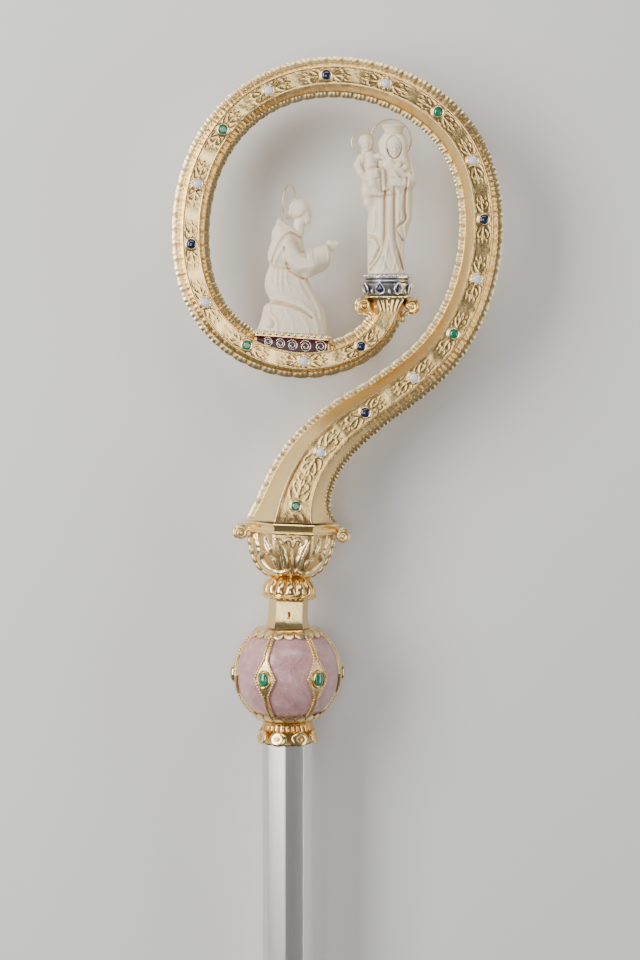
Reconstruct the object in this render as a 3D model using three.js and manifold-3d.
// A bishop's crosier: a gilt crook set with stones, with two ivory figures in its curl, on a
// carved bowl, a rose-quartz knob in a gilt cage and a long silver shaft.
//
// The pieces are worked out in the staff's own frame, in millimetres: the origin is the middle
// of the knob, +Y runs up the staff, +X is the side the crook curls to, and +Z is its show face.
// At the end the whole staff is laid down on its back: +Z stays up, and the two rear bosses of
// the knob and the foot ferrule touch the ground.
import * as THREE from 'three';
import Module from 'manifold-3d';
import { mergeVertices } from 'three/addons/utils/BufferGeometryUtils.js';

const wasm = await Module();
wasm.setup();

// ---- driving dimensions -------------------------------------------------------------------

const SEAT_GAP = 0.3;            // room between two pieces that sit on each other
const LIE_ANGLE = 0.52;          // degrees that the shaft slopes down to its foot when it lies
const HEAD_LEAN = 2.5;           // degrees that the socket and bowl lean towards +X
const HEAD_FOOT = 24;            // height of the socket's foot, where that lean starts

// crook: a path that starts on the bowl and turns by so many degrees in each 10 mm
const CROOK_START = [2.5, 80.7];
const CROOK_HEADING = 87.5;      // degrees from +X, square to the leaning bowl
const BEND_SPACING = 40;
const BENDS = [-9.4, -8.6, 0.2, 7.2, 5.0, 5.4, 9.8, 6.3, 7.2, 8.6, 7.0, 4.9, 11.2, 8.9, 10.5, 25.8];
const CROOK_LENGTH = 592;
const NECK_LENGTH = 80;          // the crook thickens over this length towards the bowl
const FOOT_FLARE = 8;            // and spreads sharply over about this length at its foot
const CREST_WIDTH = 3.2;         // leaf-edged band along both edges of the crook
const CREST_HALF = 1.3;          // half its thickness
const SCALLOP = 7.4;             // pitch of its leaves
const SCALLOP_DEPTH = 1.0;

// stones along the crook
const STONE_COUNT = 19;
const STONE_FIRST = 8.5;
const STONE_PITCH = 31.1;
const STONE_RADIUS = 2.5;
const STONE_HEIGHT = 1.7;
const COLLET_RADIUS = 3.4;
const COLLET_HEIGHT = 1.3;
const STONE_KINDS = ['emerald', 'pearl', 'sapphire', 'pearl'];

// capital at the inner end, with its two scrolls
const CAPITAL = { x: 52.2, foot: 187, top: 197.9, half: 11.4, depth: 10 };
const SCROLL_RADIUS = 4.3;

// bowl, in the leaning frame
const BOWL = { foot: 52.2, rim: 74.5, top: 80.2, footRadius: 9.4 };
const BOWL_SCROLL = { x: 26.6, y: 73.6, half: 6.5 };

// fluted collar and socket, in the leaning frame
const COLLAR = { foot: 40.2, top: 51.9, footRadius: 14.4, topRadius: 9.0, flutes: 14 };
const SOCKET = { foot: 24.6, top: 39.9, half: 10.3, panel: 6.8, depth: 9.4 };

// knob
const QUARTZ_RADIUS = 27;
const QUARTZ_HALF_HEIGHT = 22.6;
const KNOB_SIDES = 18;
const CAGE_RADIUS = 28.3;
const CAGE_THICKNESS = 0.9;
const STRAP_COUNT = 6;
const STRAP_TURN = 1.5;          // degrees that the straps are turned about the staff
const STRAP_HALF = 1.5;
const LOZENGE = { halfWidth: 6.4, halfHeight: 10 };
const BOSS = { halfWidth: 2.7, halfHeight: 3.8, reach: 30.7 };

// lower collar, shaft and foot
const PETAL_COUNT = 8;
const PETALS = { top: -24.6, ring: -30, foot: -36.6, ringRadius: 13.4, petalRadius: 17 };
const SHAFT = { top: -36.9, foot: -1484, flat: 12.4, turn: 14 };
const FERRULE = { top: -1484.3, foot: -1528, radius: 14.2 };

// silver stand of the mother and child, and the gilt stand of the kneeling monk
const PLINTH = { x: 52.2, foot: 198.2, top: 209.0, footRadius: 10.6, rimRadius: 12.6 };
const PLINTH_STONES = 8;
const STAND = { x: 1.8, y: 178.3, lean: 4, left: -19.6, right: 20.2, top: 0.3, plate: 2.5, half: 7.6, enamel: 0.8 };
const STAND_BEADS = 12;

// ---- solids -------------------------------------------------------------------------------

// A mesh skinned over rings of points, each ring an array of [x, y, z] with as many points as
// the next, and closed at both ends by a fan.
function skin(rings) {
  const count = rings[0].length;
  const points = rings.flat();
  const faces = [];
  for (let i = 0; i + 1 < rings.length; i++) {
    for (let j = 0; j < count; j++) {
      const k = (j + 1) % count;
      const [a, b, c, d] = [i * count + j, i * count + k, (i + 1) * count + k, (i + 1) * count + j];
      faces.push(a, b, c, a, c, d);
    }
  }
  for (const [ring, start, turned] of [[rings[0], 0, true], [rings.at(-1), points.length - count, false]]) {
    const middle = points.length;
    points.push([0, 1, 2].map((axis) => ring.reduce((sum, p) => sum + p[axis], 0) / count));
    for (let j = 0; j < count; j++) {
      const k = (j + 1) % count;
      faces.push(...(turned ? [start + k, start + j, middle] : [start + j, start + k, middle]));
    }
  }
  return facedOut(closedMesh(points.flat(), faces));
}

function closedMesh(positions, faces) {
  const geometry = new THREE.BufferGeometry();
  geometry.setAttribute('position', new THREE.Float32BufferAttribute(positions, 3));
  geometry.setIndex(faces);
  return geometry;
}

// Turns every face round if the mesh encloses a negative volume.
function facedOut(geometry) {
  const position = geometry.getAttribute('position');
  const index = geometry.getIndex();
  const [a, b, c] = [new THREE.Vector3(), new THREE.Vector3(), new THREE.Vector3()];
  let volume = 0;
  for (let i = 0; i < index.count; i += 3) {
    a.fromBufferAttribute(position, index.getX(i));
    b.fromBufferAttribute(position, index.getX(i + 1));
    c.fromBufferAttribute(position, index.getX(i + 2));
    volume += a.dot(b.cross(c));
  }
  if (volume < 0) {
    for (let i = 0; i < index.count; i += 3) {
      const first = index.getX(i);
      index.setX(i, index.getX(i + 1));
      index.setX(i + 1, first);
    }
  }
  return geometry;
}

function toSolid(geometry) {
  const bare = geometry.clone();
  bare.deleteAttribute('normal');
  bare.deleteAttribute('uv');
  const merged = mergeVertices(bare, 1e-4);
  return new wasm.Manifold(new wasm.Mesh({
    numProp: 3,
    vertProperties: new Float32Array(merged.getAttribute('position').array),
    triVerts: new Uint32Array(merged.getIndex().array),
  }));
}

function toGeometry(solid) {
  const { vertProperties, triVerts } = solid.getMesh();
  return closedMesh(Array.from(vertProperties), Array.from(triVerts));
}

function join(geometries) {
  return toGeometry(geometries.map(toSolid).reduce((whole, next) => whole.add(next)));
}

function cut(geometry, tool) {
  return toGeometry(toSolid(geometry).subtract(toSolid(tool)));
}

// A flat ring of points at one height: a hexagon with its corners on the X axis, whose front
// and back flats are 2 x panel wide and 2 x depth apart.
function hexagon(half, panel, depth, y) {
  return [[half, 0], [panel, depth], [-panel, depth], [-half, 0], [-panel, -depth], [panel, -depth]]
    .map(([x, z]) => [x, y, z]);
}

// Radius of such a hexagon in the direction of an angle from +Z.
function hexagonRadius(angle, half, panel, depth) {
  const x = Math.abs(Math.sin(angle));
  const z = Math.abs(Math.cos(angle));
  const flat = depth / Math.max(z, 1e-6);
  const bevel = half * depth / (x * depth + z * (half - panel));
  return Math.min(flat, bevel);
}

// A level ring about the Y axis: radius is a function of the angle from +Z towards +X.
function levelRing(count, radius, y) {
  return Array.from({ length: count }, (_, i) => {
    const angle = 2 * Math.PI * i / count;
    const r = radius(angle);
    return [r * Math.sin(angle), y, r * Math.cos(angle)];
  });
}

// A low dome on an oval foot that faces +Z: rings shrink as a quarter ellipse does.
function dome(halfWidth, halfHeight, rise, sides, bands) {
  const rings = [];
  for (let i = 0; i < bands; i++) {
    const lift = (Math.PI / 2) * i / bands;
    rings.push(Array.from({ length: sides }, (_, j) => {
      const angle = 2 * Math.PI * (j + 0.5) / sides;
      const shrink = Math.cos(lift);
      return [halfWidth * shrink * Math.cos(angle), halfHeight * shrink * Math.sin(angle), rise * Math.sin(lift)];
    }));
  }
  return skin(rings);
}

// ---- materials ----------------------------------------------------------------------------

const MATERIALS = {
  gold: new THREE.MeshStandardMaterial({ color: 0xd9b66a, roughness: 0.25, metalness: 1 }),
  silver: new THREE.MeshStandardMaterial({ color: 0xd2cfc8, roughness: 0.3, metalness: 1 }),
  darkSilver: new THREE.MeshStandardMaterial({ color: 0x8d8b8c, roughness: 0.4, metalness: 1 }),
  ivory: new THREE.MeshStandardMaterial({ color: 0xe9dfc6, roughness: 0.5, metalness: 0 }),
  quartz: new THREE.MeshStandardMaterial({ color: 0xc99596, roughness: 0.2, metalness: 0 }),
  emerald: new THREE.MeshStandardMaterial({ color: 0x1b7a4b, roughness: 0.15, metalness: 0 }),
  sapphire: new THREE.MeshStandardMaterial({ color: 0x141c4a, roughness: 0.12, metalness: 0 }),
  pearl: new THREE.MeshStandardMaterial({ color: 0xf0ece6, roughness: 0.2, metalness: 0 }),
  enamel: new THREE.MeshStandardMaterial({ color: 0x5a1420, roughness: 0.2, metalness: 0 }),
};

function piece(name, geometry, material) {
  const mesh = new THREE.Mesh(geometry, MATERIALS[material]);
  mesh.name = name;
  return mesh;
}

// ---- crook --------------------------------------------------------------------------------

// The crook's path in 1 mm steps: the bend is interpolated between its stations, and heading and
// place are its running sums.
const crookPath = [];
{
  let [x, y] = CROOK_START;
  let heading = THREE.MathUtils.degToRad(CROOK_HEADING);
  for (let s = 0; s <= BEND_SPACING * (BENDS.length - 1); s++) {
    crookPath.push({ x, y, heading });
    const station = Math.min(Math.floor(s / BEND_SPACING), BENDS.length - 2);
    const bend = THREE.MathUtils.lerp(BENDS[station], BENDS[station + 1], s / BEND_SPACING - station);
    heading += THREE.MathUtils.degToRad(bend / 10);
    x += Math.cos(heading);
    y += Math.sin(heading);
  }
}

// Place at s mm along the path and off mm to the right of it, that is on its outer side.
function crookPlace(s, off, z = 0) {
  const low = Math.min(Math.floor(s), crookPath.length - 2);
  const [a, b] = [crookPath[low], crookPath[low + 1]];
  const part = s - low;
  const heading = THREE.MathUtils.lerp(a.heading, b.heading, part);
  const x = THREE.MathUtils.lerp(a.x, b.x, part) + off * Math.sin(heading);
  const y = THREE.MathUtils.lerp(a.y, b.y, part) - off * Math.cos(heading);
  return [x, y, z];
}

// Half width over the crests, half width of the raised panel and half depth, at s mm along.
function crookSize(s) {
  const neck = Math.max(0, 1 - s / NECK_LENGTH);
  const foot = Math.exp(-s / FOOT_FLARE);
  return {
    half: 12.95 - 0.0072 * s + 6 * neck + 5.5 * foot,
    panel: 5.0 - 0.002 * s + 3 * neck + 1.5 * foot,
    depth: 12.0 - 0.005 * s + 2 * neck + 1.5 * foot,
  };
}

function crookSection(s, crestDip) {
  const { half, panel, depth } = crookSize(s);
  const tip = half - crestDip;
  const root = half - CREST_WIDTH;
  return [
    [tip, 0], [root, CREST_HALF], [panel, depth], [-panel, depth], [-root, CREST_HALF],
    [-tip, 0], [-root, -CREST_HALF], [-panel, -depth], [panel, -depth], [root, -CREST_HALF],
  ].map(([off, z]) => crookPlace(s, off, z));
}

function crookBar() {
  const steps = Math.round(CROOK_LENGTH / (SCALLOP / 2));
  const rings = [];
  for (let i = 0; i <= steps; i++) {
    rings.push(crookSection(CROOK_LENGTH * i / steps, i % 2 ? 0 : SCALLOP_DEPTH));
  }
  return skin(rings);
}

// A six-sided cup under each stone, standing on the panel.
function collet(s) {
  const { depth } = crookSize(s);
  const ring = (radius, z) => Array.from({ length: 6 }, (_, i) => {
    const angle = 2 * Math.PI * (i + 0.5) / 6;
    const [x, y] = crookPlace(s, 0);
    return [x + radius * Math.cos(angle), y + radius * Math.sin(angle), z];
  });
  return skin([ring(COLLET_RADIUS + 0.4, depth - 1), ring(COLLET_RADIUS, depth + COLLET_HEIGHT)]);
}

function stonePlaces() {
  return Array.from({ length: STONE_COUNT }, (_, i) => STONE_FIRST + STONE_PITCH * i);
}

// The capital flares from the crook's end to a flat top, with a scroll on each side.
function capital() {
  const { x, foot, top, half, depth } = CAPITAL;
  const end = crookSize(CROOK_LENGTH);
  const rings = [];
  for (let i = 0; i <= 4; i++) {
    const rise = i / 4;
    const spread = rise ** 2;
    rings.push(hexagon(
      THREE.MathUtils.lerp(end.half - 1, half + 1.5, spread),
      THREE.MathUtils.lerp(end.panel, half - 2, spread),
      THREE.MathUtils.lerp(end.depth, depth, spread),
      THREE.MathUtils.lerp(foot, top, rise),
    ).map(([px, py, pz]) => [px + x, py, pz]));
  }
  const scrolls = [-1, 1].map((side) => scroll(x + side * (half + 1), top - SCROLL_RADIUS - 0.6, SCROLL_RADIUS, 7.5));
  return [skin(rings), ...scrolls];
}

// A rolled scroll: a short round bar along Z with domed ends.
function scroll(x, y, radius, half) {
  const ring = (r, z) => Array.from({ length: 12 }, (_, i) => {
    const angle = 2 * Math.PI * i / 12;
    return [x + r * Math.cos(angle), y + r * Math.sin(angle), z];
  });
  return skin([ring(radius * 0.55, -half), ring(radius, 1.2 - half), ring(radius, half - 1.2), ring(radius * 0.55, half)]);
}

function crook() {
  return piece('crook', join([crookBar(), ...stonePlaces().map(collet), ...capital()]), 'gold');
}

function crookStones() {
  return stonePlaces().map((s, i) => {
    const kind = STONE_KINDS[i % STONE_KINDS.length];
    const stone = piece(`crook_${kind}_${i + 1}`, dome(STONE_RADIUS, STONE_RADIUS, STONE_HEIGHT, 6, 2), kind);
    stone.position.set(...crookPlace(s, 0, crookSize(s).depth + COLLET_HEIGHT + SEAT_GAP));
    return stone;
  });
}

// ---- bowl, fluted collar and socket -------------------------------------------------------

// The bowl swells from a round foot to the hexagonal moulding under the crook. Eight broad
// acanthus leaves are raised on it, widest at mid height, with a sunk rib between each two.
function bowl() {
  const rim = crookSize(0);
  const rows = 7;
  const rings = [];
  for (let i = 0; i <= rows; i++) {
    const rise = i / rows;
    const swell = Math.sqrt(1 - (1 - rise) ** 2);
    const round = BOWL.footRadius * (1 - swell);
    rings.push(levelRing(32, (angle) => {
      const hex = hexagonRadius(angle, rim.half - 1.6, rim.panel + 1.5, rim.depth + 1.2);
      const leaf = 1.1 * Math.sin(Math.PI * rise) * Math.cos(8 * angle);
      return round + hex * swell * 0.97 + leaf;
    }, THREE.MathUtils.lerp(BOWL.foot, BOWL.rim, rise)));
  }
  const moulding = skin([[BOWL.rim - 0.6, 0.2], [BOWL.rim + 1, 1.4], [BOWL.top - 1, 1.4], [BOWL.top - 0.4, 0.6]]
    .map(([y, out]) => hexagon(rim.half + out - 1.2, rim.panel + out, rim.depth + out, y)));
  const scrolls = [-1, 1].map((side) => (
    scroll(side * BOWL_SCROLL.x, BOWL_SCROLL.y, SCROLL_RADIUS, BOWL_SCROLL.half)));
  return piece('bowl', join([skin(rings), moulding, ...scrolls]), 'gold');
}

// A skirt of rounded flutes that spreads downwards over the socket.
function flutedCollar() {
  const rings = [];
  const rows = 4;
  for (let i = 0; i <= rows; i++) {
    const drop = i / rows;
    const radius = THREE.MathUtils.lerp(COLLAR.topRadius, COLLAR.footRadius, Math.sin(drop * Math.PI / 2));
    const flute = 0.9 * Math.sin(Math.PI * (0.15 + 0.75 * drop));
    rings.push(levelRing(2 * COLLAR.flutes, (angle) => radius + flute * Math.cos(COLLAR.flutes * angle),
      THREE.MathUtils.lerp(COLLAR.top, COLLAR.foot + 1.2, drop)));
  }
  rings.push(levelRing(2 * COLLAR.flutes, () => COLLAR.footRadius + 0.4, COLLAR.foot));
  return piece('fluted_collar', skin(rings), 'gold');
}

// A waisted hexagonal sleeve between the collar and the knob.
function socket() {
  const rings = [];
  for (let i = 0; i <= 5; i++) {
    const rise = i / 5;
    const spread = 1.4 * (1 - rise) ** 4;
    rings.push(hexagon(SOCKET.half + spread, SOCKET.panel + spread / 2, SOCKET.depth + spread,
      THREE.MathUtils.lerp(SOCKET.foot, SOCKET.top, rise)));
  }
  return piece('socket', skin(rings), 'gold');
}

// ---- knob ---------------------------------------------------------------------------------

function quartz() {
  const profile = [[0, -QUARTZ_HALF_HEIGHT]];
  const edge = Math.asin(QUARTZ_HALF_HEIGHT / QUARTZ_RADIUS);
  for (let i = 0; i <= 8; i++) {
    const latitude = THREE.MathUtils.lerp(-edge, edge, i / 8);
    profile.push([QUARTZ_RADIUS * Math.cos(latitude), QUARTZ_RADIUS * Math.sin(latitude)]);
  }
  profile.push([0, QUARTZ_HALF_HEIGHT]);
  const lathe = new THREE.LatheGeometry(profile.map(([x, y]) => new THREE.Vector2(x, y)), KNOB_SIDES);
  return piece('quartz_knob', lathe, 'quartz');
}

// One strap of the cage: a band that runs over the stone and widens to a lozenge at its middle.
function strap(turn) {
  const inner = CAGE_RADIUS - CAGE_THICKNESS;
  const edge = Math.asin(QUARTZ_HALF_HEIGHT / CAGE_RADIUS);
  const rings = [];
  const steps = 8;
  for (let i = 0; i <= steps; i++) {
    const latitude = THREE.MathUtils.lerp(-edge, edge, i / steps);
    const y = CAGE_RADIUS * Math.sin(latitude);
    const half = STRAP_HALF + Math.max(0, (LOZENGE.halfWidth - STRAP_HALF) * (1 - Math.abs(y) / LOZENGE.halfHeight));
    const outline = [[-1, inner], [-1, CAGE_RADIUS], [0, CAGE_RADIUS], [1, CAGE_RADIUS], [1, inner], [0, inner]];
    rings.push(outline.map(([side, r]) => {
      const level = r * Math.cos(latitude);
      const angle = turn + side * Math.min(half / level, 1);
      return [level * Math.sin(angle), r * Math.sin(latitude), level * Math.cos(angle)];
    }));
  }
  return skin(rings);
}

function strapTurns() {
  return Array.from({ length: STRAP_COUNT }, (_, i) => (
    THREE.MathUtils.degToRad(-90 + STRAP_TURN + 360 * i / STRAP_COUNT)));
}

// The rim at each pole: a flat ring that the straps run into.
function cageRim(side) {
  const [low, seat, high] = [-2.2, SEAT_GAP, 1.5].map((rise) => side * (QUARTZ_HALF_HEIGHT + rise));
  const profile = [[13.4, seat], [15.3, seat], [18.1, low], [19.3, low], [15.8, high], [13.4, seat]];
  if (side < 0) profile.reverse();
  const lathe = new THREE.LatheGeometry(profile.map(([x, y]) => new THREE.Vector2(x, y)), KNOB_SIDES);
  return facedOut(mergeVertices(bareCopy(lathe), 1e-4));
}

function bareCopy(geometry) {
  const bare = geometry.clone();
  bare.deleteAttribute('normal');
  bare.deleteAttribute('uv');
  return bare;
}

// A raised oval setting on each lozenge.
function bossSeat(turn) {
  const oval = (spread, z) => Array.from({ length: 8 }, (_, i) => {
    const angle = 2 * Math.PI * (i + 0.5) / 8;
    return [(BOSS.halfWidth + spread) * Math.cos(angle), (BOSS.halfHeight + spread) * Math.sin(angle), z];
  });
  const seat = skin([oval(1.1, CAGE_RADIUS - 0.8), oval(0.7, CAGE_RADIUS + 0.7)]);
  return seat.rotateY(turn);
}

function cage() {
  const parts = strapTurns().flatMap((turn) => [strap(turn), bossSeat(turn)]);
  return piece('knob_cage', join([...parts, cageRim(-1), cageRim(1)]), 'gold');
}

function bossStones() {
  const foot = CAGE_RADIUS + 0.7 + SEAT_GAP;
  return strapTurns().map((turn, i) => {
    const stone = piece(`knob_emerald_${i + 1}`, dome(BOSS.halfWidth, BOSS.halfHeight, BOSS.reach - foot, 8, 3), 'emerald');
    stone.rotation.y = turn;
    stone.position.set(foot * Math.sin(turn), 0, foot * Math.cos(turn));
    return stone;
  });
}

// ---- lower collar, shaft and foot ---------------------------------------------------------

// A ring under the knob from which eight rounded petals spread over the head of the shaft.
function petalCollar() {
  const rows = [
    [PETALS.top, PETALS.ringRadius, 0], [PETALS.ring + 1, PETALS.ringRadius - 0.4, 0],
    [PETALS.ring - 1, PETALS.ringRadius + 1.4, 0.5], [PETALS.ring - 3.6, PETALS.petalRadius - 0.6, 1.0],
    [PETALS.foot + 1.2, PETALS.petalRadius - 0.3, 1.3], [PETALS.foot, PETALS.petalRadius - 1.6, 1.3],
  ];
  return piece('petal_collar', skin(rows.map(([y, radius, lobe]) => (
    levelRing(4 * PETAL_COUNT, (angle) => radius + lobe * Math.cos(PETAL_COUNT * angle), y)))), 'gold');
}

function shaft() {
  const corner = SHAFT.flat / Math.cos(Math.PI / 8);
  const turn = THREE.MathUtils.degToRad(SHAFT.turn + 22.5);
  const ring = (y) => Array.from({ length: 8 }, (_, i) => {
    const angle = turn + Math.PI * i / 4;
    return [corner * Math.sin(angle), y, corner * Math.cos(angle)];
  });
  return piece('shaft', skin([ring(SHAFT.top), ring(SHAFT.foot)]), 'silver');
}

// The foot: a turned gilt cap with a small flat underneath, so that the staff lies still. The flat
// is level once the staff lies, and reaches as low as the knob's rear bosses do.
function ferrule(groundDrop) {
  const { top, foot, radius } = FERRULE;
  const profile = [
    [0, foot], [radius - 5, foot], [radius - 2.2, foot + 3], [radius - 1.4, foot + 26], [radius, foot + 31],
    [radius, foot + 35], [radius - 1.2, foot + 37], [radius - 0.4, foot + 40], [radius - 1, top], [0, top],
  ];
  const turned = new THREE.LatheGeometry(profile.map(([x, y]) => new THREE.Vector2(x, y)), 16);
  const under = new THREE.BoxGeometry(40, 120, 10).translate(0, foot, -groundDrop - 5);
  under.rotateX(-THREE.MathUtils.degToRad(LIE_ANGLE));
  return piece('foot_ferrule', cut(turned, under), 'gold');
}

// ---- stands in the curl -------------------------------------------------------------------

// A round silver stand: a beaded rim on a tapering drum with a ring of pointed settings.
function plinth() {
  const { foot, top, footRadius, rimRadius } = PLINTH;
  const rows = [
    [foot, footRadius - 1.6, 0], [foot + 1.5, footRadius, 0.2], [foot + 6, rimRadius - 0.7, 0.5],
    [foot + 7, rimRadius - 1.6, 0], [top - 2.4, rimRadius - 1.4, 0], [top - 1.8, rimRadius, 0.25],
    [top - 0.6, rimRadius, 0.25], [top, rimRadius - 1, 0],
  ];
  const drum = skin(rows.map(([y, radius, wave]) => (
    levelRing(3 * PLINTH_STONES, (angle) => radius - wave * Math.cos(PLINTH_STONES * angle), y))));
  const mesh = piece('mother_stand', drum, 'darkSilver');
  mesh.position.x = PLINTH.x;
  return mesh;
}

// A pointed dark stone in each setting of that stand.
function plinthStones() {
  const { foot, footRadius, rimRadius } = PLINTH;
  return Array.from({ length: PLINTH_STONES }, (_, i) => {
    const turn = 2 * Math.PI * (i + 0.5) / PLINTH_STONES;
    const outline = [[-1.9, 0], [-1.2, -1.9], [1.2, -1.9], [1.9, 0], [0, 2.9]];
    const rings = [0, 0.9].map((z) => outline.map(([x, y]) => [x * (1 - 0.35 * z), y * (1 - 0.35 * z), z]));
    const stone = piece(`stand_sapphire_${i + 1}`, skin(rings), 'sapphire');
    const radius = (footRadius + rimRadius) / 2 + 1.1;
    stone.position.set(PLINTH.x + radius * Math.sin(turn), foot + 3.6, radius * Math.cos(turn));
    stone.rotation.set(0, turn, 0);
    stone.rotateX(0.35);
    return stone;
  });
}

// The monk's stand leans with the crook under it. Its frame's origin is the middle of its top.
const standFrame = new THREE.Group();
standFrame.position.set(STAND.x, STAND.y, 0);
standFrame.rotation.z = -THREE.MathUtils.degToRad(STAND.lean);
standFrame.updateMatrix();

// The room that the crook takes under the stand: its section, a little larger, along that part.
function crookRoom() {
  const rings = [];
  for (let s = 0.74 * CROOK_LENGTH; s < 0.97 * CROOK_LENGTH; s += SCALLOP / 2) {
    const { half, panel, depth } = crookSize(s);
    const [tip, root, side, lift] = [half, half - CREST_WIDTH, panel, depth].map((size) => size + SEAT_GAP);
    const crest = CREST_HALF + SEAT_GAP;
    rings.push([
      [tip, SEAT_GAP], [root, crest], [side, lift], [-side, lift], [-root, crest],
      [-tip, SEAT_GAP], [-tip, -SEAT_GAP], [-root, -crest], [-side, -lift], [side, -lift], [root, -crest],
      [tip, -SEAT_GAP],
    ].map(([off, z]) => crookPlace(s, off, z)));
  }
  return skin(rings).applyMatrix4(standFrame.matrix.clone().invert());
}

// Outline of the stand's box seen from the front: flat on top, and below it follows the inner
// edge of the crook's panel.
function standOutline(inset, left, right, top) {
  const points = [];
  const back = standFrame.matrix.clone().invert();
  for (let s = 0.7 * CROOK_LENGTH; s < CROOK_LENGTH; s += 4) {
    const place = new THREE.Vector3(...crookPlace(s, -(crookSize(s).panel + inset))).applyMatrix4(back);
    if (place.x > left && place.x < right && place.y < top) points.push([place.x, place.y]);
  }
  return [[left, top], ...points, [right, top]];
}

function slab(outline, low, high) {
  const shape = new THREE.Shape(outline.map(([x, y]) => new THREE.Vector2(x, y)));
  const body = new THREE.ExtrudeGeometry(shape, { depth: high - low, bevelEnabled: false });
  return body.translate(0, 0, low);
}

// The stand: a box that rides on the crook, under a plate whose front and back edges carry a
// row of beads.
function monkStand() {
  const { left, right, top, half, plate } = STAND;
  const box = slab(standOutline(-0.4, left + 0.6, right - 0.4, top - plate + 0.2), -half, half);
  const edge = Array.from({ length: 2 * STAND_BEADS + 1 }, (_, i) => [
    THREE.MathUtils.lerp(left, right, i / (2 * STAND_BEADS)), half + (i % 2 ? 2.0 : 1.1)]);
  const rim = [...edge, ...edge.map(([x, z]) => [x, -z]).reverse()];
  const board = slab(rim, 0, plate).rotateX(-Math.PI / 2).translate(0, top - plate, 0);
  return piece('monk_stand', cut(join([box, board]), crookRoom()), 'gold');
}

// A curved panel of enamel lies on the stand's front and on its back.
function enamelPanels() {
  const { left, right, top, half, plate, enamel } = STAND;
  const outline = standOutline(0.5, left + 1.6, right - 1, top - plate - SEAT_GAP);
  return [['front', half + SEAT_GAP], ['back', -half - SEAT_GAP - enamel]].map(([side, low]) => (
    piece(`enamel_${side}`, cut(slab(outline, low, low + enamel), crookRoom()), 'enamel')));
}

// ---- ivory figures ------------------------------------------------------------------------

const IVORY_SIDES = 14;

// A standing form skinned over level rings. A row is [height, back x, front x, half depth], and
// folds run down it as a wave around each ring that turns a little as it rises.
function draped(rows, folds = { count: 0, depth: 0, twist: 0 }) {
  return skin(rows.map(([y, back, front, depth]) => {
    const [middle, half] = [(back + front) / 2, (front - back) / 2];
    return Array.from({ length: IVORY_SIDES }, (_, i) => {
      const angle = 2 * Math.PI * i / IVORY_SIDES;
      const r = 1 + folds.depth * Math.cos(folds.count * angle + folds.twist * y);
      return [middle + half * r * Math.sin(angle), y, depth * r * Math.cos(angle)];
    });
  }));
}

// A limb skinned over rings across its run. A station is [x, y, z, half height, half depth].
function limb(stations, sides = 8) {
  const rings = stations.map(([x, y, z, high, deep], i) => {
    const before = stations[Math.max(i - 1, 0)];
    const after = stations[Math.min(i + 1, stations.length - 1)];
    const run = new THREE.Vector3(after[0] - before[0], after[1] - before[1], after[2] - before[2]).normalize();
    const across = new THREE.Vector3(0, 0, 1).addScaledVector(run, -run.z).normalize();
    const up = new THREE.Vector3().crossVectors(across, run);
    return Array.from({ length: sides }, (_, j) => {
      const angle = 2 * Math.PI * j / sides;
      const [u, v] = [high * Math.cos(angle), deep * Math.sin(angle)];
      return [x + up.x * u + across.x * v, y + up.y * u + across.y * v, z + up.z * u + across.z * v];
    });
  });
  return skin(rings);
}

function egg(x, y, z, width, height, depth) {
  const ball = new THREE.SphereGeometry(1, 8, 6).scale(width, height, depth).translate(x, y, z);
  return facedOut(mergeVertices(bareCopy(ball), 1e-4));
}

// The monk kneels towards +X with his hands pressed together. Heights are above his stand.
function monk() {
  const habit = draped([
    [0.6, -17.8, 18.5, 8.8], [6.3, -16.1, 18.4, 9.0], [10, -15.4, 17.6, 8.8], [13.3, -15.0, 16.4, 8.6],
    [16.5, -12.2, 14.8, 8.0], [20.3, -14.1, 12, 7.8], [24.5, -15.4, 9, 7.6], [30.4, -14.8, 6, 7.0],
    [34.6, -13.4, 4.5, 6.6], [38.4, -14.8, 4.6, 7.4], [43, -14.6, 4.4, 8.4], [50.2, -13.2, 2.7, 7.0],
    [54, -10, 0.6, 4.6],
  ], { count: 8, depth: 0.04, twist: 0.12 });
  const hood = draped([[42, -14.6, -5, 4], [50.2, -13.4, 1.8, 6.6], [54.5, -12.4, 2, 6.2], [58.2, -11.3, -3, 4], [60.2, -10.7, -9, 1.2]]);
  const neck = draped([[50, -6, 3, 4], [60, -4.4, 3, 3.8]]);
  const head = egg(0.8, 63.3, 0, 6.2, 7.4, 5.4);
  const beard = limb([[3.4, 61, 0, 3.6, 3.4], [7, 57.6, 0, 3.0, 2.8], [10.6, 54.6, 0, 0.9, 0.9]]);
  const arms = [-1, 1].map((side) => limb([
    [-4.5, 46, side * 6.4, 4.6, 3.2], [-1.5, 40, side * 8.6, 6, 3.8], [5.4, 37, side * 7.8, 6.6, 3.5],
    [15.8, 42.3, side * 2.7, 6, 2.5],
  ]));
  const hands = limb([[13.4, 44.4, 0, 3, 2.8], [17.6, 46.6, 0, 3.3, 2.3], [21.8, 48.4, 0, 1.7, 1.5]]);
  const foot = limb([[-17, 2.8, 3.4, 2.0, 2.2], [-10, 4, 3.4, 3.2, 3.0]], 6);
  return [habit, hood, neck, head, beard, ...arms, hands, foot];
}

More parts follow.
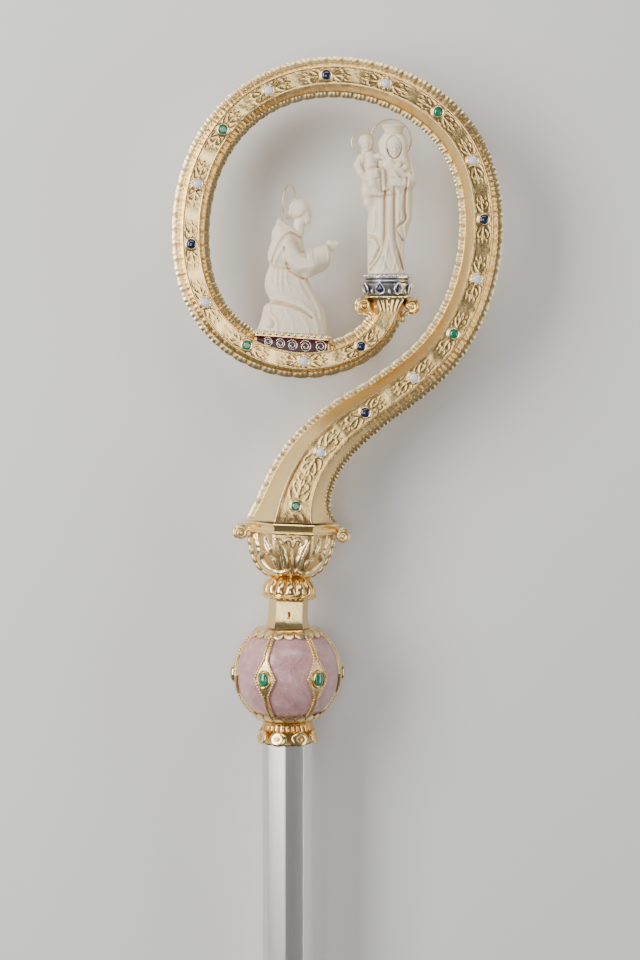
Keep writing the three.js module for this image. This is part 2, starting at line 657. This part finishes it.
// The mother stands with the child on her right arm, at -X. Heights are above her stand.
function motherAndChild() {
  const gown = draped([
    [0, -9.6, 10.1, 8.0], [5.3, -9.9, 8.6, 7.6], [12, -10.0, 8.7, 7.4], [17.4, -9.6, 9.6, 7.2],
    [22.8, -10.2, 11.2, 7.3], [30, -9.7, 12.8, 7.4], [33.5, -9.4, 12.9, 7.5], [37, -12.2, 13.2, 7.6],
    [43, -10.2, 13.4, 7.6], [53.5, -6.6, 13.9, 7.0], [59, -5.4, 12.8, 6.2], [62.5, -4, 11, 5.2],
  ], { count: 8, depth: 0.06, twist: 0.05 });
  const veil = draped([[57, -5.6, 12.6, 6], [63.4, -3.8, 10.4, 5.6], [68.5, -4.7, 10.9, 6], [72, -3, 9.6, 5], [74, -1.2, 8, 4.2]]);
  const crown = draped([[73.2, -1.5, 8.1, 4.6], [75, -1.7, 8.3, 4.8], [77.4, -3, 9.5, 6.0]], { count: 8, depth: 0.05, twist: 0 });
  const childBody = draped([[45, -11.6, -4, 4], [51.3, -15.4, -4, 5], [55, -17.3, -4, 5.2], [58.6, -17.4, -4.4, 4.8], [62, -14, -7, 3.4],
    [64, -12.8, -9.6, 2.4]]);
  const childHead = egg(-11.5, 67.4, 1.4, 3.7, 4.8, 4.0);
  const childWrap = draped([[41, -8.6, 0.8, 8.2], [48, -12.3, 0.6, 8.8], [55.4, -12.4, -1, 7.4]], { count: 6, depth: 0.06, twist: 0 });
  const sleeve = limb([[11, 56, 2, 3, 3], [12, 47, 5, 3.6, 3.4], [7, 46.5, 8, 3.2, 2.4], [2.2, 47.6, 8.6, 2.6, 1.6]]);
  return [gown, veil, crown, childBody, childHead, childWrap, sleeve];
}

// A thin wire ring behind a head, with a short stem towards it.
function halo(name, radius, place, turn, stem) {
  const wire = 0.5;
  const ring = new THREE.TorusGeometry(radius, wire, 4, 18);
  const rod = new THREE.CylinderGeometry(wire, wire, stem + 0.2, 4).translate(0, -radius - stem / 2, 0);
  const parts = stem > 0 ? [ring, rod] : [ring];
  const mesh = piece(name, join(parts.map((part) => facedOut(mergeVertices(bareCopy(part), 1e-4)))), 'gold');
  mesh.position.set(...place);
  mesh.rotation.y = THREE.MathUtils.degToRad(turn);
  return mesh;
}

// ---- the whole staff ----------------------------------------------------------------------

const staff = new THREE.Group();

const head = new THREE.Group();
head.position.y = HEAD_FOOT;
head.rotation.z = -THREE.MathUtils.degToRad(HEAD_LEAN);
for (const mesh of [bowl(), flutedCollar(), socket()]) {
  mesh.position.y = -HEAD_FOOT;
  head.add(mesh);
}
staff.add(head);

staff.add(crook(), ...crookStones());
staff.add(quartz(), cage(), ...bossStones(), petalCollar(), shaft());
standFrame.add(monkStand(), ...enamelPanels(), piece('kneeling_monk', join(monk()), 'ivory'));
standFrame.add(halo('monk_halo', 8.8, [-5.7, 68.7, 0], 66, 0));
staff.add(standFrame);

const motherFrame = new THREE.Group();
motherFrame.position.set(PLINTH.x, PLINTH.top + SEAT_GAP, 0);
motherFrame.add(piece('mother_and_child', join(motherAndChild()), 'ivory'));
motherFrame.add(halo('mother_halo', 10.7, [2.4, 70.4, -7.2], 0, 3));
motherFrame.add(halo('child_halo', 5.7, [-12.6, 69, -4.6], 0, 3));
staff.add(plinth(), ...plinthStones(), motherFrame);

// Laid down, the lowest points of the knob's bosses set the ground, and the ferrule's flat is
// cut at their level.
staff.rotation.x = THREE.MathUtils.degToRad(LIE_ANGLE);
const groundDrop = -new THREE.Box3().setFromObject(staff, true).min.z;
staff.add(ferrule(groundDrop));

const crosier = new THREE.Group();
crosier.add(staff);
const box = new THREE.Box3().setFromObject(crosier, true);
staff.position.set(-(box.min.x + box.max.x) / 2, -(box.min.y + box.max.y) / 2, -box.min.z);

export default crosier;
